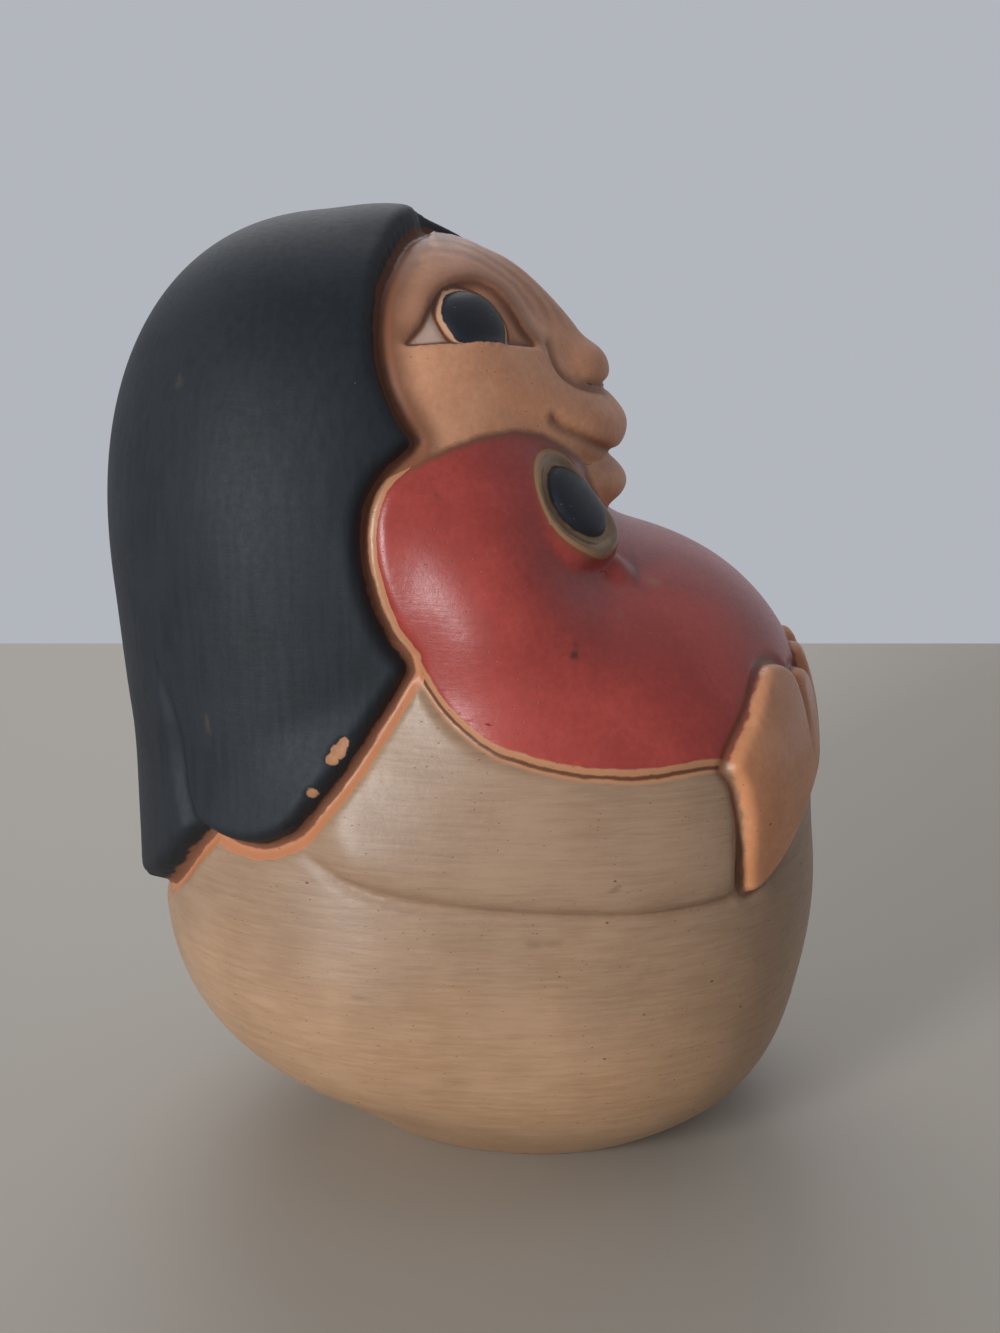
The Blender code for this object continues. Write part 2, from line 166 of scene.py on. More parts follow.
bodyLumps = [  # belly, chest, then head and back in one
    lump(0, 2.5, 24.5, wide=34, back=35, front=35.2, down=24.1, top=28, square=2.4, lean=-13),
    lump(0, 13, 38.5, wide=30, back=20, front=23, down=23, top=25, square=2.3, blend=8),
    lump(0, -11.5, 63, wide=29, back=24, front=19, down=51.5, top=34, square=2.3, lean=5, blend=8),
]
faceLumps = [  # face, muzzle, upper lip, lower lip, bridge of the nose, its tip and wings
    lump(0, -6, 78.5, wide=24, back=20.5, front=17, down=21, top=18, square=1.9, lean=-22),
    lump(0, 1, 78, wide=16.5, back=9, front=14, down=7, top=8, square=1.9, lean=-12, blend=6),
    lump(0, 5, 78, wide=13.5, back=9, front=12.2, down=4.1, top=3, square=2.4, lean=-9, blend=4.5),
    lump(0, 8, 72.6, wide=12, back=7, front=9.8, down=4.6, top=3.2, square=2.1, lean=-16, blend=0.7),
    lump(0, 9.4, 85, wide=5, back=5, front=2.6, down=4.2, top=9, lean=41, blend=3),
    lump(0, 9.4, 81.4, wide=8.2, back=7, front=6.1, down=2.4, top=4, square=2.2, lean=6, blend=1),
]
bundleLumps = [  # rear, middle and front of the bundle, and where it is pressed up under the chin
    lump(0, 2.6, 61.5, wide=30.8, back=13.5, front=11, down=16.5, top=18.8, square=2.3, lean=16),
    lump(0, 11, 53.5, wide=30.4, back=16, front=15, down=8, top=8.2, square=2.2, lean=-8, blend=10),
    lump(0, 17.5, 45, wide=27.5, back=17, front=18.6, down=18, top=18, square=2.1, lean=-22, blend=6),
    lump(0, 2, 66, wide=24, back=12, front=11, down=12, top=13, square=2.6, blend=5),
]
footLump = lump(0, 4, 8, wide=16, back=14, front=17, down=10, top=16, square=2.4, blend=11)
sleeveLump = lump(20, 8, 42, wide=13.5, back=24, front=22, down=9.5, top=12, square=2.2, blend=6)

seed = {
    "ring": 5.7,
    "pupil": 4.05,
    "dome": 1.2,     # how high the seed stands over its ring
    "rim": 0.35,
    "groove": 0.45,
}
seedLump = lump(-18.3, 10.1, 69.1, wide=5.9, back=5.9, front=5.9, down=6, top=2, square=2.6, lean=-43,
                turn=34, blend=1.5)
budLump = lump(-16.8, 14.2, 62.9, wide=2.3, back=2.3, front=2.3, down=2.5, top=2.3, blend=0.8)


def smoothPath(points, closed, steps=4):
    p = np.array(points, float)
    count = len(p) if closed else len(p) - 1
    rows = []
    for i in range(count):
        ids = [(i + k) % len(p) if closed else min(max(i + k, 0), len(p) - 1) for k in (-1, 0, 1, 2)]
        a, b, c, d = p[ids]
        for t in np.arange(steps) / steps:
            rows.append(b + 0.5 * t * (c - a + t * (2 * a - 5 * b + 4 * c - d + t * (3 * (b - c) + d - a))))
    if not closed:
        rows.append(p[-1])
    return np.array(rows)


def pathDistance(uv, path, closed):  # less than nothing inside a closed path, or left of an open one
    ends = np.roll(path, -1, 0) if closed else path[1:]
    best = np.full(len(uv), 1e18)
    away = np.zeros_like(uv)
    sign = np.ones(len(uv))
    for a, b in zip(path, ends):
        line = b - a
        rel = uv - a
        along = np.clip(rel @ line / (line @ line), 0, 1)
        gap = rel - along[:, None] * line
        size = (gap ** 2).sum(1)
        near = size < best
        best[near] = size[near]
        away[near] = gap[near]
        if closed:
            spans = (a[1] > uv[:, 1]) != (b[1] > uv[:, 1])
            cross = spans & (uv[:, 0] < a[0] + line[0] * (uv[:, 1] - a[1]) / (line[1] or 1e-9))
            sign[cross] *= -1
        else:
            sign[near] = np.where(line[0] * rel[near, 1] - line[1] * rel[near, 0] > 0, -1, 1)
    distance = np.sqrt(best)
    return distance * sign, away / (distance + 1e-9)[:, None] * sign[:, None]


# Along the skin, to a line that is drawn on the side view
def sideDistance(points, normals, path, closed, forwardShift=0):
    uv = points[:, 1:].copy()
    uv[:, 0] -= forwardShift
    distance, away = pathDistance(uv, smoothPath(path, closed), closed)
    slope = 1 - (away * normals[:, 1:]).sum(1) ** 2
    return distance / np.sqrt(slope.clip(0.12))


def localPlaces(points, form):
    p = points - form["centre"]
    c, s = math.cos(form["turn"]), math.sin(form["turn"])
    x, y = p[:, 0] * c + p[:, 1] * s, p[:, 1] * c - p[:, 0] * s
    c, s = math.cos(form["lean"]), math.sin(form["lean"])
    return x, y * c + p[:, 2] * s, p[:, 2] * c - y * s


def lumpDistance(points, form):
    x, y, z = localPlaces(points, form)
    n = form["square"]
    reachY = np.where(y > 0, form["front"], form["back"])
    reachZ = np.where(z > 0, form["top"], form["down"])
    terms = [np.abs(x) / form["wide"], np.abs(y) / reachY, np.abs(z) / reachZ]
    level = sum(t ** n for t in terms) ** (1 / n) + 1e-9
    slope = sum((t / level) ** (2 * n - 2) / r ** 2
                for t, r in zip(terms, (form["wide"], reachY, reachZ))) ** 0.5 + 1e-9
    return (level - 1) / slope


def joined(a, b, blend):
    h = np.maximum(blend - np.abs(a - b), 0) / blend
    return np.minimum(a, b) - h * h * blend / 4


def pile(points, forms):
    field = lumpDistance(points, forms[0])
    for form in forms[1:]:
        field = joined(field, lumpDistance(points, form), form["blend"])
    return field


def mirrored(points):
    return np.abs(points[:, :1]) * [[1, 0, 0]] + points * [[0, 1, 1]]


def bundleField(points):
    bundle = pile(points, bundleLumps)
    for form in (seedLump, budLump):
        bundle = joined(bundle, lumpDistance(points, form), form["blend"])
    return bundle


def clay(points):
    body = pile(points, bodyLumps)
    body = joined(body, lumpDistance(mirrored(points), sleeveLump), sleeveLump["blend"])
    body = joined(body, lumpDistance(points, footLump), footLump["blend"])
    body = joined(body, bundleField(points), figure["bodyBlend"])
    return joined(body, pile(points, faceLumps), figure["faceBlend"])


def slopeOf(points, step=0.05):
    slope = np.stack([clay(points + step * axis) - clay(points - step * axis) for axis in np.eye(3)], 1)
    return slope / (2 * step)


def evened(points, ends):  # half-way to the mean of their neighbours
    a, b = ends.T
    size = len(points)
    count = np.bincount(a, minlength=size) + np.bincount(b, minlength=size)
    around = [np.bincount(a, row[b], size) + np.bincount(b, row[a], size) for row in points.T]
    return (points + np.stack(around, 1) / count[:, None]) / 2


def settle(points, ends, rounds=6):  # onto the fused surface, evenly spread, with its normals
    for turn in range(rounds):
        slope = slopeOf(points)
        points = points - (clay(points) / (slope ** 2).sum(1).clip(0.2))[:, None] * slope
        if turn < rounds - 2:
            points = evened(points, ends)
    slope = slopeOf(points)
    return points, slope / np.linalg.norm(slope, axis=1)[:, None]


print("stage 3: outlines scored into the clay")

eye = {
    "centre": np.array([-17.1, 1.7, 88.4]),
    "along": np.array([0.572, 0.820, -0.028]),   # along the lower lid
    "up": np.array([0.508, -0.327, 0.797]),
    "edge": [(-8.2, -1.9), (-6.5, -0.3), (-5.3, 1.0), (-3.7, 2.9), (-2.1, 4.2), (0.4, 5.3), (3.4, 5.6),
             (5.4, 4.6), (6.6, 2.6), (7.2, 0.4), (8.2, -1.7), (4, -2.4), (0, -2.6), (-4, -2.5)],
    "irisCentre": (0.6, 0.4),
    "iris": 3.8,
    "irisRise": 0.9,
    "depth": 1.0,        # how far the eye is cut in round its edge
    "round": 1.2,
    "dish": 0.4,         # and how far its middle comes back out
    "dishRound": 5.0,
}
scored = {
    "nose": [(9, 85.2), (9.5, 83.5), (10.4, 82.2), (12.1, 81.1), (14.6, 80.2)],    # crease beside the nose
    "noseWidth": 0.65,
    "mouth": [(9.3, 78.3), (10.5, 77.2), (11.8, 76.5), (13.4, 75.5), (16.5, 72.9)],
    "mouthWidth": 0.6,
    "depth": 0.45,
}
hair = {
    "edge": [(-2.8, 116), (-2.8, 99), (-3.7, 97), (-5.9, 95.6), (-7.2, 93.4), (-8, 90.5), (-8.1, 86.5),
             (-7.3, 82.6), (-5.8, 79.2), (-4.6, 77.4), (-5.6, 76.2), (-7.6, 74.2), (-8.9, 71), (-9, 67),
             (-8.2, 63.2), (-6.6, 59.4), (-4.9, 56.8), (-5.7, 54.8), (-7.7, 51.5), (-10.2, 47.6),
             (-13.1, 43.6), (-15.6, 40.5), (-18.8, 38.8), (-21.8, 38.6), (-24.2, 39.2), (-25.3, 38.2),
             (-27.2, 35.6), (-29.4, 32), (-31.6, 29.6), (-35, 28.2), (-60, 28), (-60, 116)],
    "fold": [(-31, 63), (-29.5, 58.5), (-28.9, 55.5), (-26.9, 49.7), (-26, 43), (-24.6, 38.5)],
    "foldDepth": 0.9,
    "foldWidth": 1.0,
    "parting": 7.0,      # how much further forward the far side's hair comes
    "round": 1.6,
    "hemRise": 0.9,      # more at its hem, and over the near side's brow
    "crownRise": 1.0,
    "crownDip": 0.9,     # but less over the far side's
    "chips": [(-11.0, 48.5, 0.62), (-10.5, 49.3, 0.55), (-11.5, 47.8, 0.5), (-13.3, 44.6, 0.45)],
    "chipDepth": 0.5,
}
bundle = {
    "edge": [(-6.6, 59.4), (-4.1, 57), (-1.5, 53.3), (1.2, 50.9), (4.3, 49.2), (10, 47.8), (17.7, 47.1),
             (23.6, 47.4), (27, 46.6), (34, 45), (60, 44), (60, 100), (-30, 100), (-30, 70)],
}
sleeve = {
    "edge": [(-30, 43), (-17, 39.6), (-10.2, 35.9), (-1.5, 34.3), (10, 33.4), (19.7, 33), (28, 33.6),
             (38, 36)],
    "rise": 0.9,
    "round": 2.5,
}
hand = {
    "axisForward": 5,
    "reach": 33,
    "cuff": [(47, 50.6), (54, 47.2), (53, 44.3), (51.6, 39.3), (50.5, 34.4), (48, 33.2)],  # angle, height
    "palm": [(42, 34.9), (35, 37.4), (28, 39.3), (15, 41.2), (0, 41.8), (-12, 41.4), (-12, 52)],
    "fingers": [(7.5, 6.5, 53.2), (20.5, 5.5, 52), (34.5, 9, 54)],  # middle angle, half width, tip height
    "fingerRoot": 50.2,
    "fingerLines": [(0, 51, 43), (14.5, 51, 45), (26.3, 51, 45.5)],  # angle, top, bottom
    "fingerDepth": 0.5,
    "fingerWidth": 0.7,
    "rise": 1.0,
    "round": 1.2,
}
# Stains and specks on the near side, with painted shadow to the right of the bud and a painted highlight
# below it: forward, up, half length, half height, dark (1) to light (-1)
marks = [
    (10.85, 58.1, 0.4, 0.35, 1.0), (11.1, 58.8, 0.2, 0.3, 0.7), (-1.9, 72.5, 0.3, 0.22, 0.9),
    # the light mark at forward 15.6, up 60.6 is a painted highlight below the bud
    (19.4, 62.3, 0.35, 0.25, -0.8), (15.6, 60.6, 0.3, 0.25, -0.4), (14.5, 36.3, 0.25, 0.2, 1.0),
    (7.1, 30.4, 0.8, 0.35, 0.3), (9.1, 30.5, 0.4, 0.35, 0.35), (-23.3, 50.3, 0.2, 0.5, -0.4),
    # the tall dark mark at forward 17.4, up 63.2 is painted shadow to the right of the bud
    (-25.6, 82.1, 0.2, 0.3, -0.4), (-9.6, 24.6, 0.7, 0.2, 0.3), (17.4, 63.2, 0.4, 1.2, 0.45),
    (3.2, 26.0, 0.4, 0.2, 0.3), (17.8, 27.0, 0.5, 0.2, 0.3),
]


def roundedStep(distance, width):
    t = np.clip(-distance / width, 0, 1)
    return np.sqrt(1 - (1 - t) ** 2)


def score(distance, centre, width):
    return np.exp(-((distance - centre) / width) ** 2)


def ramp(value, low, high):
    t = np.clip((value - low) / (high - low), 0, 1)
    return t * t * (3 - 2 * t)


def hairDistance(points, normals):
    parting = hair["parting"] * ramp(points[:, 0], 0, 6) * ramp(points[:, 2], 80, 92)
    return sideDistance(points, normals, hair["edge"], True, parting)


def chipped(points):  # more than nothing where the black slip has flaked off, on the near side
    gaps = [radius - np.hypot(points[:, 1] - forward, points[:, 2] - up)
            for forward, up, radius in hair["chips"]]
    return np.where(points[:, 0] < 0, np.max(gaps, 0), -9.0)


def marked(points):  # how dark or light the stains, and the painted shade and highlight by the bud, are at each point
    out = np.zeros(len(points))
    for forward, up, long, high, tone in marks:
        away = np.hypot((points[:, 1] - forward) / long, (points[:, 2] - up) / high)
        out += tone * ramp(-away, -1.5, -0.6)
    return np.where(points[:, 0] < 0, out, 0.0)


def hairRelief(points, normals, fromHair):
    side, forward, up = points.T
    hem = hair["hemRise"] * ramp(-up, -60, -36)
    crown = hair["crownRise"] * ramp(up, 94, 98) * ramp(-side, -3, 1)
    crown -= hair["crownDip"] * ramp(up, 86, 92) * ramp(side, 0, 5)
    crown *= ramp(forward, -14, -6)
    out = (hairRise + hem + crown) * roundedStep(fromHair, hair["round"])
    out -= grooveDepth * score(fromHair, grooveWidth, grooveWidth)
    fold = sideDistance(points, normals, hair["fold"], False)
    fold = hair["foldDepth"] * ramp(-up, -64, -45) * score(fold, 0, hair["foldWidth"])
    return out - fold * (fromHair < 0)


def handPlaces(points):  # the front unrolled
    angle = np.arctan2(np.abs(points[:, 0]), points[:, 1] - hand["axisForward"])
    return np.stack([angle * hand["reach"], points[:, 2]], 1)


def handDistance(points):
    edge = hand["cuff"] + hand["palm"]
    root = hand["fingerRoot"]
    for middle, half, tip in hand["fingers"]:
        for turn in np.radians([160, 125, 90, 55, 20]):
            edge.append((middle + half * math.cos(turn), root + (tip - root) * math.sin(turn)))
    edge.pop()  # the last finger runs straight into the cuff
    path = smoothPath([(math.radians(angle) * hand["reach"], up) for angle, up in edge], True)
    distance, _ = pathDistance(handPlaces(points), path, True)
    return np.where(points[:, 1] > 12, distance, 9.0)


def fingerGrooves(points):
    out = 0
    for angle, top, bottom in hand["fingerLines"]:
        line = handPlaces(points)[:, 0] - math.radians(angle) * hand["reach"]
        up = points[:, 2]
        ends = ramp(up, bottom - 3, bottom + 3) * ramp(-up, -top - 2, -top)
        out += score(line, 0, hand["fingerWidth"]) * ends
    return out


def handRelief(points, fromHand):
    out = hand["rise"] * (roundedStep(fromHand, hand["round"]) - 0.4 * score(fromHand, 0.4, 0.6))
    out -= hand["fingerDepth"] * fingerGrooves(points)
    return out * ramp(points[:, 1], 12, 14)


def bundleLine(points, fromHair, fromHand):  # where the line under the bundle is scored
    clear = ramp(fromHair, 0.5, 2) * ramp(fromHand, 0, 0.8)
    return clear * ramp(points[:, 2], 38, 42) * ramp(np.abs(points[:, 0]), 8, 14)


def sleeveRelief(points, fromSleeve, fromHand):
    along = ramp(points[:, 1], -17, -9) * ramp(-points[:, 1], -34, -27) * ramp(fromHand, 0.5, 2)
    fall = roundedStep(fromSleeve, sleeve["round"]) * ramp(-np.abs(fromSleeve), -9, -2)
    return sleeve["rise"] * along * (fall - 0.5 * score(fromSleeve, 0.3, 0.9))


def eyePlaces(points):  # distance to the eye's edge, and places along its lid and up from it
    rel = mirrored(points) * [-1, 1, 1] - eye["centre"]
    flat = np.stack([rel @ eye["along"], rel @ eye["up"]], 1)
    fromEdge, _ = pathDistance(flat, smoothPath(eye["edge"], True), True)
    near = np.abs(rel @ np.cross(eye["along"], eye["up"])) < 8
    return np.where(near, fromEdge, 9.0), flat


def eyeRelief(fromEye, flat):
    fromIris = np.hypot(*(flat - eye["irisCentre"]).T)
    iris = eye["irisRise"] * np.sqrt(np.clip(1 - (fromIris / eye["iris"]) ** 2, 0, 1)) * (fromEye < 0)
    ring = -0.25 * score(fromIris, eye["iris"] + 0.75, 0.35) * (fromEye < -0.3)
    cut = eye["depth"] * roundedStep(fromEye, eye["round"])
    cut -= eye["dish"] * roundedStep(fromEye, eye["dishRound"])
    return iris + ring - cut


def faceCreases(points, normals):  # one on the crease beside the nose, and on the line between the lips
    nose, mouth = (sideDistance(points, normals, scored[name], False) for name in ("nose", "mouth"))
    return score(nose, 0, scored["noseWidth"]), score(mouth, 0, scored["mouthWidth"])


def seedRelief(points):
    x, y, z = localPlaces(points, seedLump)
    fromSeed = np.hypot(x, y) + 3.0 * (0.3 - z).clip(0) + 3.0 * (z - 3.6).clip(0)
    out = seed["dome"] * np.sqrt(np.clip(1 - (fromSeed / seed["pupil"]) ** 2, 0, 1))
    out += seed["rim"] * score(fromSeed, seed["ring"] - 0.5, 0.6)
    out -= seed["groove"] * score(fromSeed, seed["pupil"] + 0.3, 0.5)
    return out * ramp(z, -2.5, -0.5), fromSeed


def roughSkin():  # the lumps as rounded solids, fused into one closed skin
    bm = bmesh.new()
    single = bodyLumps + faceLumps + bundleLumps + [footLump, seedLump, budLump]
    for form, flip in [(form, 1) for form in single] + [(sleeveLump, 1), (sleeveLump, -1)]:
        made = bmesh.ops.create_icosphere(bm, subdivisions=4, radius=1)["verts"]
        co = np.array([v.co for v in made])
        n = form["square"]
        co /= (np.abs(co) ** n).sum(1)[:, None] ** (1 / n)
        x = co[:, 0] * form["wide"]
        y = co[:, 1] * np.where(co[:, 1] > 0, form["front"], form["back"])
        z = co[:, 2] * np.where(co[:, 2] > 0, form["top"], form["down"])
        c, s = math.cos(form["lean"]), math.sin(form["lean"])
        y, z = y * c - z * s, z * c + y * s
        c, s = math.cos(form["turn"]), math.sin(form["turn"])
        x, y = x * c - y * s, y * c + x * s
        place = (np.stack([x, y, z], 1) + form["centre"]) * [flip, 1, 1]
        for v, p in zip(made, place):
            v.co = p
    mesh = bpy.data.meshes.new("rough")
    bm.to_mesh(mesh)
    bm.free()
    obj = bpy.data.objects.new("rough", mesh)
    bpy.context.scene.collection.objects.link(obj)
    fuse = obj.modifiers.new("fuse", "REMESH")
    fuse.mode = "VOXEL"
    fuse.voxel_size = figure["skinCell"]
    graph = bpy.context.evaluated_depsgraph_get()
    fused = bpy.data.meshes.new_from_object(obj.evaluated_get(graph))
    bpy.data.objects.remove(obj)
    return fused


def readPlaces(mesh):
    co = np.empty(len(mesh.vertices) * 3)
    mesh.vertices.foreach_get("co", co)
    return co.reshape(-1, 3)


def readEnds(mesh):
    ends = np.empty(len(mesh.edges) * 2, np.int32)
    mesh.edges.foreach_get("vertices", ends)
    return ends.reshape(-1, 2)


def keep(mesh, name, values):  # one number a vertex, for the paint
    mesh.attributes.new(name, "FLOAT", "POINT").data.foreach_set("value", np.asarray(values, np.float32))


def cutFoot(mesh):  # flat at the table's level
    bm = bmesh.new()
    bm.from_mesh(mesh)
    everything = bm.verts[:] + bm.edges[:] + bm.faces[:]
    cut = bmesh.ops.bisect_plane(bm, geom=everything, plane_no=(0, 0, 1), clear_inner=True)
    rim = [e for e in cut["geom_cut"] if isinstance(e, bmesh.types.BMEdge)]
    bmesh.ops.contextual_create(bm, geom=rim)
    bmesh.ops.triangulate(bm, faces=bm.faces[:])
    bm.to_mesh(mesh)
    bm.free()


def placeInFrame(mesh):  # metres, front to -Y, on the solid's own box
    low, high = (np.array(corner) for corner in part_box("figurine"))
    co = readPlaces(mesh) * [1, -1, 1]
    co *= (high - low) / (co.max(0) - co.min(0))
    co[:, :2] += ((low + high) / 2)[:2] - (co[:, :2].max(0) + co[:, :2].min(0)) / 2
    mesh.vertices.foreach_set("co", co.ravel())
    mesh.flip_normals()
    mesh.update()


def keepHollows(mesh):  # how hollow the skin is at each vertex, where the paint darkens it as painted shade
    co = readPlaces(mesh) * 1000
    normals = np.empty(len(co) * 3)
    mesh.vertices.foreach_get("normal", normals)
    normals = normals.reshape(-1, 3)
    a, b = readEnds(mesh).T
    gap = co[b] - co[a]
    size = (gap ** 2).sum(1) + 1e-6
    count = np.bincount(a, minlength=len(co)) + np.bincount(b, minlength=len(co)) + 1e-9
    bend = np.bincount(a, (gap * normals[a]).sum(1) / size, len(co))
    bend += np.bincount(b, -(gap * normals[b]).sum(1) / size, len(co))
    bend = bend / count
    for _ in range(6):
        around = np.bincount(a, bend[b], len(co)) + np.bincount(b, bend[a], len(co))
        bend = 0.4 * bend + 0.6 * around / count
    keep(mesh, "hollow", bend)


def makeFigure():
    mesh = roughSkin()
    points, normals = settle(readPlaces(mesh), readEnds(mesh))
    fromHair = hairDistance(points, normals)
    fromHand = handDistance(points)
    fromBundle = sideDistance(points, normals, bundle["edge"], True)
    fromSleeve = sideDistance(points, normals, sleeve["edge"], False)
    fromEye, flat = eyePlaces(points)
    seedOut, fromSeed = seedRelief(points)
    line = bundleLine(points, fromHair, fromHand)
    out = hairRelief(points, normals, fromHair) + handRelief(points, fromHand)
    out += -0.8 * grooveDepth * score(fromBundle, 0.6, 0.8 * grooveWidth) * line
    out += sleeveRelief(points, fromSleeve, fromHand)
    out += np.where(fromEye < 9, eyeRelief(fromEye, flat), 0) + seedOut
    besideNose, lips = faceCreases(points, normals)
    out -= scored["depth"] * (besideNose + lips)
    crease = bundleField(points) - pile(points, faceLumps)  # more than nothing on the face
    chips = chipped(points)
    out -= hair["chipDepth"] * ramp(chips, -0.2, 0.4)
    fields = {
        "hair": fromHair, "chips": chips, "marks": marked(points), "hand": fromHand, "bundle": fromBundle,
        "bundleLine": line, "crease": crease, "lips": np.maximum(lips, besideNose), "sleeve": fromSleeve,
        "eye": fromEye, "eyeAlong": flat[:, 0], "eyeUp": flat[:, 1],
        "iris": np.hypot(*(flat - eye["irisCentre"]).T), "seed": fromSeed,
        "fingers": fingerGrooves(points) * (fromHand < 0),
    }
    for name, values in fields.items():
        keep(mesh, name, values)
    mesh.vertices.foreach_set("co", (points + normals * out[:, None]).ravel())
    obj = bpy.data.objects.new("figurineSkin", mesh)
    bpy.context.scene.collection.objects.link(obj)
    soften = obj.modifiers.new("soften", "SMOOTH")
    soften.factor = 0.5
    soften.iterations = 2
    if 2 * len(mesh.polygons) > figure["triangles"]:
        thin = obj.modifiers.new("thin", "DECIMATE")
        thin.ratio = figure["triangles"] / (2 * len(mesh.polygons))
    graph = bpy.context.evaluated_depsgraph_get()
    fine = bpy.data.meshes.new_from_object(obj.evaluated_get(graph))
    obj.modifiers.clear()
    obj.data = fine
    cutFoot(fine)
    placeInFrame(fine)
    keepHollows(fine)
    fine.polygons.foreach_set("use_smooth", np.ones(len(fine.polygons), bool))
    return obj


skin = makeFigure()
print("skin vertices", len(skin.data.vertices), "triangles", len(skin.data.polygons))

print("stage 4: slip colours")

slip = {
    "cream": [(0.345, 0.219, 0.14), (0.268, 0.165, 0.101)],   # light and dark of each slip
    "creamLow": [(0.46, 0.28, 0.163), (0.375, 0.215, 0.116)],
    "skin": [(0.68, 0.335, 0.19), (0.52, 0.228, 0.118)],
    "red": [(0.38, 0.058, 0.045), (0.275, 0.039, 0.031)],
    "hair": [(0.013, 0.016, 0.020), (0.008, 0.010, 0.013)],
    "hand": [(0.65, 0.295, 0.145), (0.51, 0.205, 0.092)],
    "bareClay": (0.47, 0.185, 0.085),
    "rim": (0.44, 0.205, 0.105),
    "bareClayPaintedShade": (0.235, 0.085, 0.040),                       # bare clay in the groove beside the face, darkened with painted shade
    "brown": (0.125, 0.047, 0.023),
    "umber": (0.17, 0.066, 0.033),
    "white": (0.50, 0.34, 0.26),
    "irisRim": (0.52, 0.29, 0.17),
    "iris": (0.011, 0.013, 0.018),
    "seedRing": (0.135, 0.088, 0.050),
    "seedRim": (0.29, 0.165, 0.082),
    "grit": (0.13, 0.085, 0.055),
    "stainAndShade": (0.055, 0.028, 0.020),
}
gloss = {  # how rough each surface is
    "cream": 0.38,
    "skin": 0.50,
    "red": 0.30,
    "hair": 0.64,
    "pupils": 0.42,
    "grooves": 0.80,
    "grit": 0.70,
    "uneven": 0.22,
    "specular": 0.33,
}
lines = {  # from and to, in hundredths of the height off each outline
    "underBundle": (-0.45, 0.95),
    "underBundleDark": (0.2, 0.6),
    "roundHand": (0.05, 0.75),
    "jaw": (-0.5, 0.35),
    "sleeve": (0.0, 0.6),
    "besideHair": (1.5, 1.75),   # how wide the bare clay shows, beside the red and elsewhere
    "hairGroove": (0.85, 0.6),
    "irisGroove": (0.5, 0.85),
    "irisRim": (-0.2, 0.4),
}
strength = {  # how much of the umber shows in each place, as marks or as painted shade
    "scratches": 0.30,
    "arcs": 0.38,
    "brow": 0.28,
    "lips": 0.75,
    "sleeve": 0.12,
    "hand": 0.85,
    "fingers": 0.55,
    "jaw": 0.75,
    "lid": 0.70,
    "seed": 0.5,
    "hollowShade": 0.55,
    "pits": 0.6,
}


class Paint:
    def __init__(self, tree):
        self.tree = tree

    def put(self, kind, *values, **settings):
        made = self.tree.nodes.new(kind)
        for name, value in settings.items():
            setattr(made, name, value)
        for socket, value in zip(made.inputs, values):
            self.feed(socket, value)
        return made

    def feed(self, socket, value):
        if isinstance(value, bpy.types.NodeSocket):
            self.tree.links.new(value, socket)
        elif value is not None:
            socket.default_value = value

    def math(self, operation, a, b=None):
        return self.put("ShaderNodeMath", a, b, operation=operation).outputs[0]

    def fade(self, value, low, high):  # nothing at low, one at high
        made = self.put("ShaderNodeMapRange", interpolation_type="SMOOTHSTEP")
        self.feed(made.inputs["Value"], value)
        flip = low > high
        made.inputs["From Min"].default_value = min(low, high)
        made.inputs["From Max"].default_value = max(low, high)
        made.inputs["To Min"].default_value = 1.0 if flip else 0.0
        made.inputs["To Max"].default_value = 0.0 if flip else 1.0
        return made.outputs["Result"]

    def between(self, value, low, high, soft=0.12):
        rise = self.fade(value, low - soft, low + soft)
        return self.math("MULTIPLY", rise, self.fade(value, high + soft, high - soft))

    def all(self, *masks):
        out = masks[0]
        for mask in masks[1:]:
            out = self.math("MULTIPLY", out, mask)
        return out

    def mix(self, factor, a, b):
        made = self.put("ShaderNodeMix", data_type="RGBA")
        self.feed(made.inputs[0], factor)
        self.feed(made.inputs[6], a if isinstance(a, bpy.types.NodeSocket) else (*a, 1))
        self.feed(made.inputs[7], b if isinstance(b, bpy.types.NodeSocket) else (*b, 1))
        return made.outputs[2]

    def number(self, factor, a, b):
        made = self.put("ShaderNodeMix", data_type="FLOAT")
        self.feed(made.inputs[0], factor)
        self.feed(made.inputs[2], a)
        self.feed(made.inputs[3], b)
        return made.outputs[0]

    def over(self, colour, paint, *masks, amount=1.0):  # a coat of paint where all the masks are
        return self.mix(self.math("MULTIPLY", self.all(*masks), amount), colour, paint)

    def rest(self, mask):
        return self.math("SUBTRACT", 1.0, mask)

    def blend(self, one, two, share):
        one, two = self.math("MULTIPLY", one, share), self.math("MULTIPLY", two, 1 - share)
        return self.math("ADD", one, two)

    def slipOf(self, name, tone, low=0.35, high=0.65):
        return self.mix(self.fade(tone, low, high), *slip[name])

    def field(self, name):
        made = self.put("ShaderNodeAttribute", attribute_type="GEOMETRY", attribute_name=name)
        return made.outputs["Fac"]

    def noise(self, size, stretch=(1, 1, 1), detail=3.0, rough=0.55, shift=0.0):  # size of a patch in mm
        place = self.put("ShaderNodeTexCoord").outputs["Object"]
        turned = self.put("ShaderNodeMapping")
        self.feed(turned.inputs["Vector"], place)
        turned.inputs["Location"].default_value = (shift, shift, shift)
        turned.inputs["Scale"].default_value = tuple(1000 / size / s for s in stretch)
        made = self.put("ShaderNodeTexNoise")
        self.feed(made.inputs["Vector"], turned.outputs["Vector"])
        made.inputs["Scale"].default_value = 1.0
        made.inputs["Detail"].default_value = detail
        made.inputs["Roughness"].default_value = rough
        return made.outputs["Fac"]


